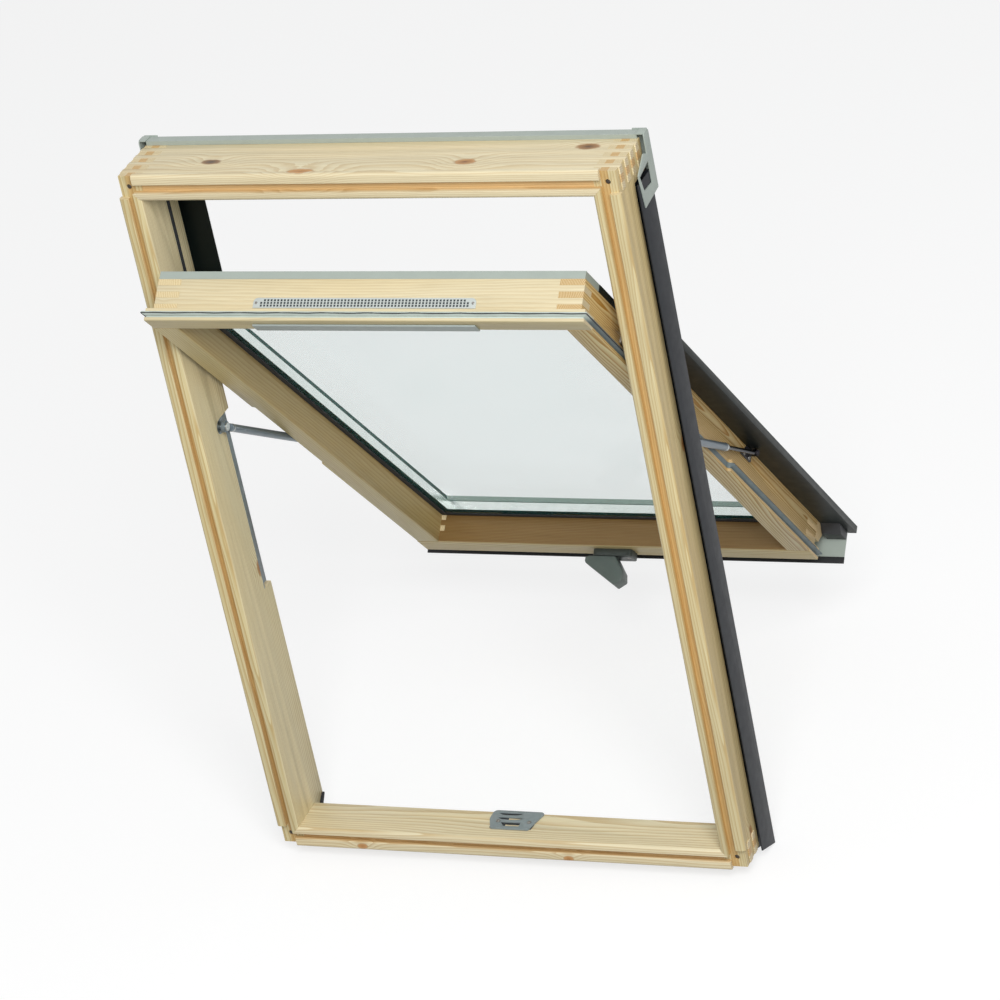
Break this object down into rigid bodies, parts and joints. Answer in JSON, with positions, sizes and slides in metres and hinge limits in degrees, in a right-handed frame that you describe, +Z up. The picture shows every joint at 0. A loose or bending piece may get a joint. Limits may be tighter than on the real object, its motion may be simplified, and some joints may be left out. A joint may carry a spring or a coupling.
{
  "type": "roof skylight",
  "caption": "High-pivot pine roof window with its frame, folded metal covers, double glazing, curved track hinges, gas struts, handle and vent.",
  "frame": {"origin": "middle of the frame's lower outer face, 52 mm behind the plane of the lining groove", "axes": "+X across the window, +Y from the room out through the roof, +Z up the slope along the stiles"},
  "size_m": [0.7992, 0.8159, 1.2144],
  "materials": {
    "frame_pine": "clear-lacquered pine, satin",
    "sash_pine": "clear-lacquered pine, satin",
    "screw_steel": "plated, dull",
    "light_casing": "light grey powder coat, satin",
    "dark_cladding": "dark grey powder coat, satin",
    "black_rubber": "matt",
    "grey_seal": "soft, matt",
    "glass": "clear",
    "spacer": "mill finish",
    "black_plastic": "matt",
    "zinc_plated": "zinc plated",
    "strut_tube": "grey paint, satin",
    "strut_rod": "black nitrided",
    "bracket_black": "black, satin",
    "fitting_grey": "grey, fine grained",
    "handle_grey": "grey-green lacquered zinc casting"
  },
  "bodies": {
    "frame": {"frame_top_rail": "frame_pine", "frame_bottom_rail": "frame_pine", "frame_stile_left": "frame_pine", "frame_stile_right": "frame_pine", "frame_corner_screws": "screw_steel", "frame_top_casing": "light_casing", "casing_corner_left": "light_casing", "casing_corner_right": "light_casing", "side_cladding_left": "dark_cladding", "side_cladding_right": "dark_cladding", "bottom_cladding": "dark_cladding", "upper_cover_left": "dark_cladding", "upper_cover_right": "dark_cladding", "frame_seals": "black_rubber", "hinge_plate_left": "zinc_plated", "hinge_plate_right": "zinc_plated", "frame_hinge_screws": "screw_steel", "strut_plate_left": "zinc_plated", "strut_plate_right": "zinc_plated", "strut_pins": "zinc_plated", "striker_plate": "fitting_grey", "striker_screws": "screw_steel"},
    "sash": {"sash_top_rail": "sash_pine", "sash_bottom_rail": "sash_pine", "sash_stile_left": "sash_pine", "sash_stile_right": "sash_pine", "pane_inner": "glass", "pane_outer": "glass", "pane_spacer": "spacer", "glazing_gasket": "black_rubber", "setting_blocks": "black_plastic", "sash_seal": "grey_seal", "sash_top_casing": "light_casing", "sash_cover_upper_left": "dark_cladding", "sash_cover_upper_right": "dark_cladding", "sash_cover_lower_left": "dark_cladding", "sash_cover_lower_right": "dark_cladding", "sash_bottom_cover": "light_casing", "apron_seal": "black_rubber", "sash_corner_cap_left": "black_plastic", "sash_corner_cap_right": "black_plastic", "sash_hinge_left": "zinc_plated", "sash_hinge_right": "zinc_plated", "sash_hinge_screws": "screw_steel", "strut_bracket_left": "bracket_black", "strut_bracket_right": "bracket_black", "strut_bracket_screws": "screw_steel", "vent_grille": "fitting_grey", "vent_screws": "screw_steel", "handle_base": "handle_grey", "handle_screws": "screw_steel"},
    "strut_cylinder_left": {"strut_cylinder_left": "strut_tube"},
    "strut_cylinder_right": {"strut_cylinder_right": "strut_tube"},
    "strut_rod_left": {"strut_rod_left": "strut_rod"},
    "strut_rod_right": {"strut_rod_right": "strut_rod"},
    "handle": {"handle_lever": "handle_grey"},
    "latch": {"latch_bolt": "zinc_plated"},
    "vent_flap": {"vent_flap": "fitting_grey"}
  },
  "joints": [
    {"name": "sash_pivot", "type": "hinge", "parent": "frame", "child": "sash", "pos_m": [0, 0.097, 0.895], "axis": [1, 0, 0], "range_deg": [-40.9, 0]},
    {"name": "strut_pivot_left", "type": "hinge", "parent": "frame", "child": "strut_cylinder_left", "pos_m": [-0.3465, 0.002, 0.729], "axis": [1, 0, 0], "range_deg": [-50.65, 0]},
    {"name": "strut_slide_left", "type": "slide", "parent": "strut_cylinder_left", "child": "strut_rod_left", "axis": [0, 0.8305, -0.5571], "range_m": [-0.11688, 0]},
    {"name": "strut_pivot_right", "type": "hinge", "parent": "frame", "child": "strut_cylinder_right", "pos_m": [0.3465, 0.002, 0.729], "axis": [1, 0, 0], "range_deg": [-50.65, 0]},
    {"name": "strut_slide_right", "type": "slide", "parent": "strut_cylinder_right", "child": "strut_rod_right", "axis": [0, 0.8305, -0.5571], "range_m": [-0.11688, 0]},
    {"name": "handle_turn", "type": "hinge", "parent": "sash", "child": "handle", "pos_m": [0, 0.53829, 0.17784], "axis": [0, 0.7559, 0.6547], "range_deg": [0, 90]},
    {"name": "bolt_slide", "type": "slide", "parent": "sash", "child": "latch", "axis": [0, 0.6547, -0.7559], "range_m": [0, 0.01201]},
    {"name": "vent_flap_hinge", "type": "hinge", "parent": "sash", "child": "vent_flap", "pos_m": [0, -0.13642, 0.97249], "axis": [1, 0, 0], "range_deg": [0, 40]}
  ],
  "couplings": [
    {"joint": "strut_pivot_left", "follows": "sash_pivot", "ratio": 1.238},
    {"joint": "strut_slide_left", "follows": "sash_pivot", "m_per_rad": 0.16372},
    {"joint": "strut_pivot_right", "follows": "sash_pivot", "ratio": 1.238},
    {"joint": "strut_slide_right", "follows": "sash_pivot", "m_per_rad": 0.16372},
    {"joint": "bolt_slide", "follows": "handle_turn", "m_per_rad": 0.0076394}
  ]
}
